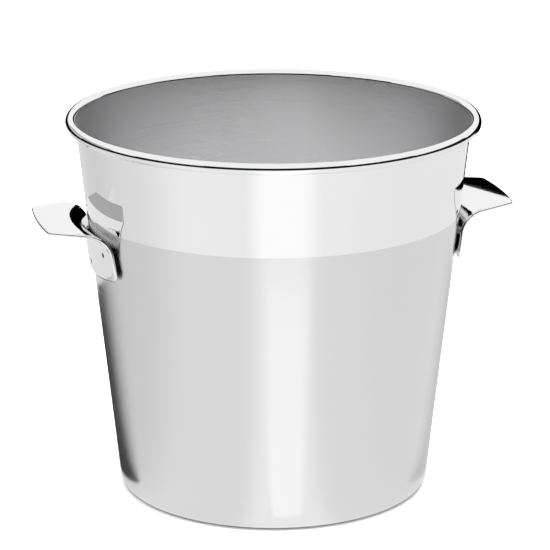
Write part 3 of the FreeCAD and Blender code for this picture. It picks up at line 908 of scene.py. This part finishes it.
# The bright strip on the table, which makes the highlight on the satin wall. Its corners, each
# right of and behind the bucket, are near left, near right, far left and far right.
BRIGHT_STRIP = ((0.0, -0.09), (0.018, -0.09), (-0.0325, -0.366), (0.125, -0.344))
STRIP_BRIGHTNESS = 1.25

# Fans of shades on the table that darken the wall's two edges. A fan opens outwards from a
# point beside the bucket, a little way off it, to the left for positive angles: start and end
# in degrees from straight behind, reach, brightness.
FAN_START = 2 * MM
LEFT_FAN_AT = (-0.085, -0.035)
LEFT_FAN = (
    (0, 27, 0.35, 0.05), (27, 33, 0.35, 0.08), (33, 38, 0.35, 0.17), (38, 43, 0.35, 0.31),
    (43, 49, 0.35, 0.46), (49, 55, 0.35, 0.60), (55, 61, 0.35, 0.70),
)
RIGHT_FAN_AT = (0.085, -0.035)
RIGHT_FAN = ((-28, 0, 0.40, 0.66), (-40, -28, 0.40, 0.80))

# A light shade above the left fan, in the way of what the left handle's plate reflects.
PLATE_SHADE = ((5, 75, 0.20, 0.81),)
PLATE_SHADE_START = 0.08
PLATE_SHADE_HEIGHT = 0.095

# Upright cards: name, start and end (right, behind, top), lowest, brightness.
STANDING_CARDS = (
    ("right_post", (0.15, 0.45, 0.09), (0.24, 0.45, 0.09), 0.0, 0.02),
    ("grip_flag", (0.085, 0.105, 0.1634), (0.2, 0.105, 0.1995), 0.155, 0.0),
    ("left_back_card", (-0.8, 0.1, 0.56), (-0.5, 0.9, 0.56), 0.36, 0.5),
)

# Round dark walls beyond the table: name, radius, half-width in degrees either side of the
# camera, lowest, highest, brightness.
ROUND_WALLS = (
    ("back_wall", 1.36, 180, 0.0, 0.40, 0.0),
    ("side_wall", 1.32, 125, 0.0, 0.60, 0.01),
    ("near_wall", 1.30, 80, 0.0, 0.76, 0.01),
    ("front_wall", 1.28, 40, 0.0, 0.92, 0.01),
)


def only_in_reflections(card, name, grey):
    card.name = name
    card.data.materials.append(glow_material(name, grey))
    card.visible_camera = False
    card.visible_diffuse = False
    card.visible_shadow = False
    card.visible_transmission = False


def add_floor_card(name, turn, corners, height, grey):
    """A card that lies level and only shows in reflections.

    Its corners, each right of and behind the bucket, are near left, near right, far left and
    far right.
    """
    deselect_all()
    bpy.ops.mesh.primitive_plane_add(size=1, location=(0, 0, 0))
    card = bpy.context.object
    for vertex in card.data.vertices:
        right, behind = corners[(2 if vertex.co.y > 0 else 0) + (1 if vertex.co.x > 0 else 0)]
        vertex.co = studio_point(turn, right, behind, height)
    only_in_reflections(card, name, grey)


def add_fan(name, turn, at, shades, start_reach, height):
    """Shades that open outwards like a fan from a point beside the bucket."""
    for number, (start, end, reach, grey) in enumerate(shades, start=1):
        corners = []
        for far in (start_reach, reach):
            for degrees in (end, start):
                aside = math.radians(degrees)
                corners.append((at[0] - far * math.sin(aside), at[1] + far * math.cos(aside)))
        add_floor_card(f"{name}_{number}", turn, corners, height, grey)


def add_round_wall(name, turn, radius, half_width, low, high, grey):
    """A round wall about the bucket, which only shows in reflections.

    It reaches half_width degrees either side of the camera.
    """
    deselect_all()
    bpy.ops.mesh.primitive_cylinder_add(
        vertices=ROUND_STEPS, radius=radius, depth=high - low, end_fill_type="NOTHING",
        location=(0, 0, (high + low) / 2),
    )
    wall = bpy.context.object
    start_edit(wall)
    bpy.ops.mesh.select_mode(type="FACE")
    bpy.ops.mesh.select_all(action="DESELECT")
    end_edit()
    # Rounding may not drop a face that lies right on the limit.
    towards_camera = studio_point(turn, 0, -1, 0)
    limit = math.cos(math.radians(half_width)) - 0.001
    for face in wall.data.polygons:
        face.select = face.normal.dot(towards_camera) < limit
    bpy.ops.object.mode_set(mode="EDIT")
    bpy.ops.mesh.delete(type="FACE")
    end_edit()
    only_in_reflections(wall, name, grey)


def add_standing_card(name, turn, start, end, low, grey):
    """An upright card that only shows in reflections.

    Its two ends are each given as right of the bucket, behind it, and how high the top is.
    """
    deselect_all()
    bpy.ops.mesh.primitive_plane_add(size=1, location=(0, 0, 0))
    card = bpy.context.object
    for vertex in card.data.vertices:
        right, behind, top = end if vertex.co.x > 0 else start
        vertex.co = studio_point(turn, right, behind, top if vertex.co.y > 0 else low)
    only_in_reflections(card, name, grey)


def add_light_table(name, turn, radius, shades):
    """The table as the steel reflects it, brightest towards the camera.

    Each shade is an angle from the camera, to the right if positive, and a brightness.
    """
    deselect_all()
    bpy.ops.mesh.primitive_circle_add(
        vertices=ROUND_STEPS, radius=radius, fill_type="NGON",
        location=(0, 0, TABLE_HEIGHT),
        rotation=(0, 0, -turn),
    )
    only_in_reflections(bpy.context.object, name, 1)
    tree = bpy.context.object.data.materials[0].node_tree
    nodes, links = tree.nodes, tree.links
    split = nodes.new("ShaderNodeSeparateXYZ")
    links.new(nodes.new("ShaderNodeTexCoord").outputs["Object"], split.inputs[0])
    ahead = math_node(nodes, links, "MULTIPLY", split.outputs[1], -1.0)
    turned = math_node(nodes, links, "ARCTAN2", split.outputs[0], ahead)
    part = math_node(nodes, links, "MULTIPLY", turned, 1 / FULL_TURN)
    ramp = nodes.new("ShaderNodeValToRGB")
    ramp.color_ramp.interpolation = "EASE"
    links.new(math_node(nodes, links, "ADD", part, 0.5), ramp.inputs["Fac"])
    stops = ramp.color_ramp.elements
    while len(stops) < len(shades):
        stops.new(0.5)
    for stop, (degrees, grey) in zip(stops, shades):
        stop.position = degrees / 360 + 0.5
        stop.color = (grey, grey, grey, 1)
    glow = next(node for node in nodes if node.type == "EMISSION")
    links.new(ramp.outputs["Color"], glow.inputs["Color"])


def add_softbox(name, turn, size, place, power):
    at = studio_point(turn, *place)
    deselect_all()
    bpy.ops.object.light_add(type="AREA", location=at)
    lamp = bpy.context.object
    lamp.name = name
    lamp.data.shape = "RECTANGLE"
    lamp.data.size, lamp.data.size_y = size
    lamp.data.energy = power
    lamp.visible_glossy = False
    aim = Vector((0, 0, SOFTBOX_AIM)) - at
    lamp.rotation_euler = aim.to_track_quat("-Z", "Y").to_euler()


def add_floor():
    deselect_all()
    bpy.ops.mesh.primitive_circle_add(
        vertices=ROUND_STEPS, radius=FLOOR_RADIUS, fill_type="NGON",
        location=(0, 0, FLOOR_HEIGHT),
    )
    floor = bpy.context.object
    floor.name = "floor"
    material, nodes, links, shader = new_material("floor_paper")
    shader.inputs["Base Color"].default_value = (0.9, 0.9, 0.9, 1)
    shader.inputs["Roughness"].default_value = 0.9
    shader.inputs["Specular IOR Level"].default_value = 0.1
    floor.data.materials.append(material)


def add_room(strength):
    world = bpy.data.worlds.new("room")
    bpy.context.scene.world = world
    world.use_nodes = True
    back = world.node_tree.nodes["Background"]
    back.inputs["Color"].default_value = (1, 1, 1, 1)
    back.inputs["Strength"].default_value = strength


def add_camera(studio):
    turn = studio.camera_turn
    deselect_all()
    bpy.ops.object.camera_add(
        location=studio_point(turn, 0, -studio.camera_distance, studio.camera_height),
        rotation=(math.pi / 2 - studio.camera_pitch, 0, -turn + studio.camera_pan),
    )
    camera = bpy.context.object
    camera.data.lens = studio.lens
    camera.data.sensor_width = 36
    camera.data.clip_start = 0.01
    camera.data.clip_end = 50
    bpy.context.scene.camera = camera


class BUCKET_OT_studio(bpy.types.Operator):
    """Set up the pale floor, the soft light, the reflection cards and the camera"""

    bl_idname = "bucket.studio"
    bl_label = "Studio"

    def execute(self, context):
        studio = context.scene.studio_settings
        turn = studio.camera_turn
        context.scene.view_settings.view_transform = "Standard"
        add_room(studio.room_light)
        add_floor()
        add_camera(studio)
        add_softbox("top_softbox", turn, SOFTBOX_SIZE, SOFTBOX_PLACE, SOFTBOX_POWER)
        add_light_table("light_table", turn, TABLE_RADIUS, TABLE_SHADES)
        add_floor_card("bright_strip", turn, BRIGHT_STRIP, CARD_HEIGHT, STRIP_BRIGHTNESS)
        add_fan("left_fan", turn, LEFT_FAN_AT, LEFT_FAN, FAN_START, CARD_HEIGHT)
        add_fan("right_fan", turn, RIGHT_FAN_AT, RIGHT_FAN, FAN_START, CARD_HEIGHT)
        add_fan(
            "plate_shade", turn, LEFT_FAN_AT, PLATE_SHADE, PLATE_SHADE_START,
            PLATE_SHADE_HEIGHT,
        )
        for name, start, end, low, grey in STANDING_CARDS:
            add_standing_card(name, turn, start, end, low, grey)
        for name, radius, half_width, low, high, grey in ROUND_WALLS:
            add_round_wall(name, turn, radius, half_width, low, high, grey)
        return {"FINISHED"}


# Panel -----------------------------------------------------------------------------------


class BUCKET_PT_panel(bpy.types.Panel):
    """Lists the bucket's pieces and its studio"""

    bl_idname = "BUCKET_PT_panel"
    bl_label = "Champagne bucket"
    bl_space_type = "VIEW_3D"
    bl_region_type = "UI"
    bl_category = "Bucket"

    def draw(self, context):
        column = self.layout.column()
        for operator in OPERATORS:
            column.operator(operator.bl_idname)
        for group in (context.scene.bucket_sizes, context.scene.handle_sizes,
                      context.scene.steel_finish, context.scene.studio_settings):
            for name in group.__annotations__:
                column.prop(group, name)


SETTINGS = {
    "bucket_sizes": BucketSizes,
    "handle_sizes": HandleSizes,
    "steel_finish": SteelFinish,
    "studio_settings": StudioSettings,
}
OPERATORS = (BUCKET_OT_shell, BUCKET_OT_handles, BUCKET_OT_welds, BUCKET_OT_studio)


def register():
    for kind in (*SETTINGS.values(), *OPERATORS, BUCKET_PT_panel):
        bpy.utils.register_class(kind)
    for name, kind in SETTINGS.items():
        setattr(bpy.types.Scene, name, PointerProperty(type=kind))


def unregister():
    for name in SETTINGS:
        delattr(bpy.types.Scene, name)
    for kind in reversed((*SETTINGS.values(), *OPERATORS, BUCKET_PT_panel)):
        bpy.utils.unregister_class(kind)


def main():
    register()
    bpy.ops.bucket.shell()
    bpy.ops.bucket.handles()
    bpy.ops.bucket.welds()
    bpy.ops.bucket.studio()


if __name__ == "__main__":
    main()
